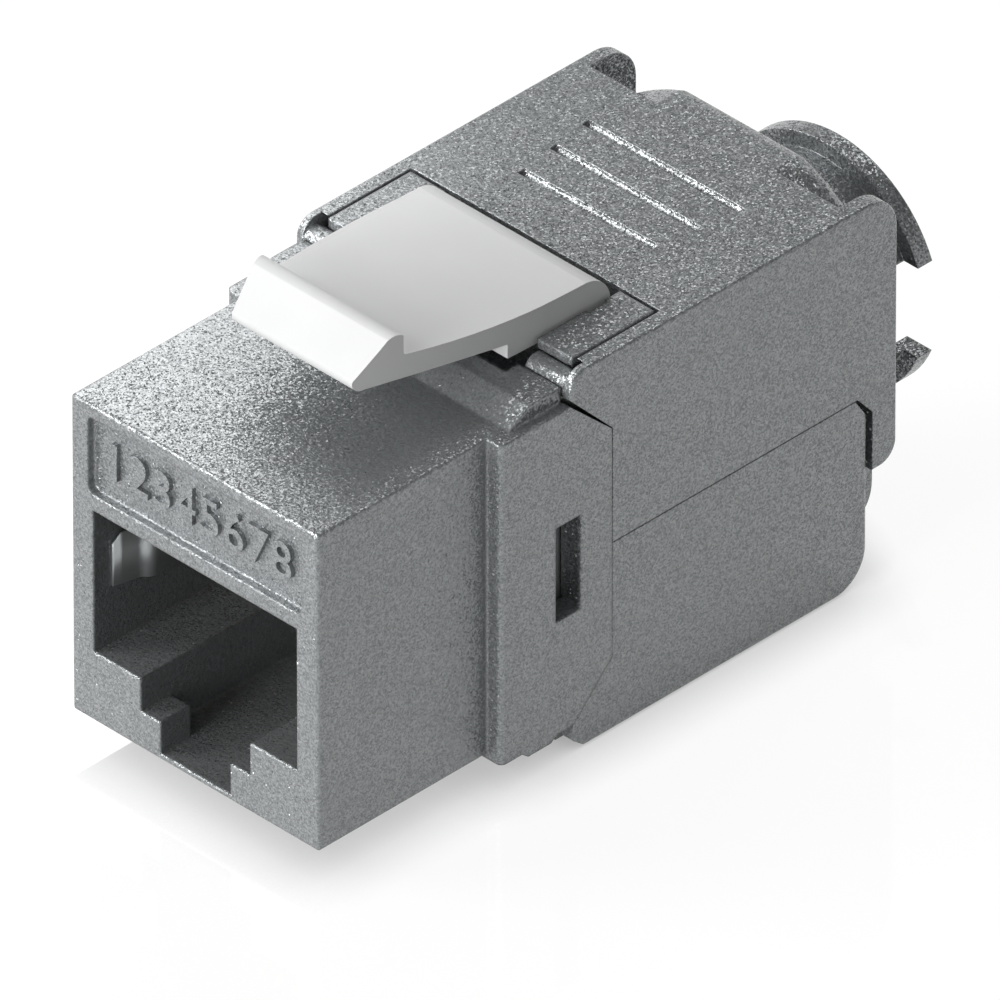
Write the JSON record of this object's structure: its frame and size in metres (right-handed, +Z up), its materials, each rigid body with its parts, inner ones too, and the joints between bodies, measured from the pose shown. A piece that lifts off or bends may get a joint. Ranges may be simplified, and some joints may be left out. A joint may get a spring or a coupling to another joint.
{
  "type": "shielded keystone jack",
  "caption": "Shielded tool-free keystone jack: plug port at the front, sprung panel latch on top, hinged rear wings that close round the cable.",
  "frame": {"origin": "under the middle of the jack, on the surface that it rests on", "axes": "+X to the right seen from the plug side, +Y from the plug side to the cable side, +Z up, latch on top"},
  "size_m": [0.0162, 0.0378, 0.0223],
  "materials": {
    "zinc": "satin zinc die casting with a fine sandy grain",
    "latch_plastic": "satin white moulding",
    "spring_steel": "smooth rolled spring sheet",
    "contact_gold": "gold-plated spring wire",
    "blade_metal": "tin-plated stamped sheet",
    "insert_plastic": "black moulding",
    "tower_plastic": "pale moulding",
    "cap_plastic": "dark grey moulding",
    "board": "solder-masked glass laminate"
  },
  "bodies": {
    "housing": {"front_housing": "zinc", "shield_spring_left": "spring_steel", "shield_spring_right": "spring_steel", "port_insert": "insert_plastic", "port_contact_1": "contact_gold", "port_contact_2": "contact_gold", "port_contact_3": "contact_gold", "port_contact_4": "contact_gold", "port_contact_5": "contact_gold", "port_contact_6": "contact_gold", "port_contact_7": "contact_gold", "port_contact_8": "contact_gold", "circuit_board": "board", "idc_tower_upper": "tower_plastic", "idc_tower_lower": "tower_plastic", "idc_blade_1": "blade_metal", "idc_blade_2": "blade_metal", "idc_blade_3": "blade_metal", "idc_blade_4": "blade_metal", "idc_blade_5": "blade_metal", "idc_blade_6": "blade_metal", "idc_blade_7": "blade_metal", "idc_blade_8": "blade_metal", "wire_cap": "cap_plastic"},
    "upper_wing": {"upper_wing": "zinc"},
    "lower_wing": {"lower_wing": "zinc"},
    "latch": {"latch_lever": "latch_plastic"}
  },
  "joints": [
    {"name": "upper_wing_hinge", "type": "hinge", "parent": "housing", "child": "upper_wing", "pos_m": [0, -0.0044, 0.01825], "axis": [1, 0, 0], "range_deg": [0, 90]},
    {"name": "lower_wing_hinge", "type": "hinge", "parent": "housing", "child": "lower_wing", "pos_m": [0, -0.00395, 0.00095], "axis": [-1, 0, 0], "range_deg": [0, 90]},
    {"name": "latch_hinge", "type": "hinge", "parent": "housing", "child": "latch", "pos_m": [0, -0.0006, 0.01835], "axis": [1, 0, 0], "range_deg": [0, 7.5], "stiffness_Nm_per_rad": 0.2, "springref_deg": -1.72}
  ],
  "couplings": [
    {"joint": "lower_wing_hinge", "follows": "upper_wing_hinge", "ratio": 1}
  ]
}
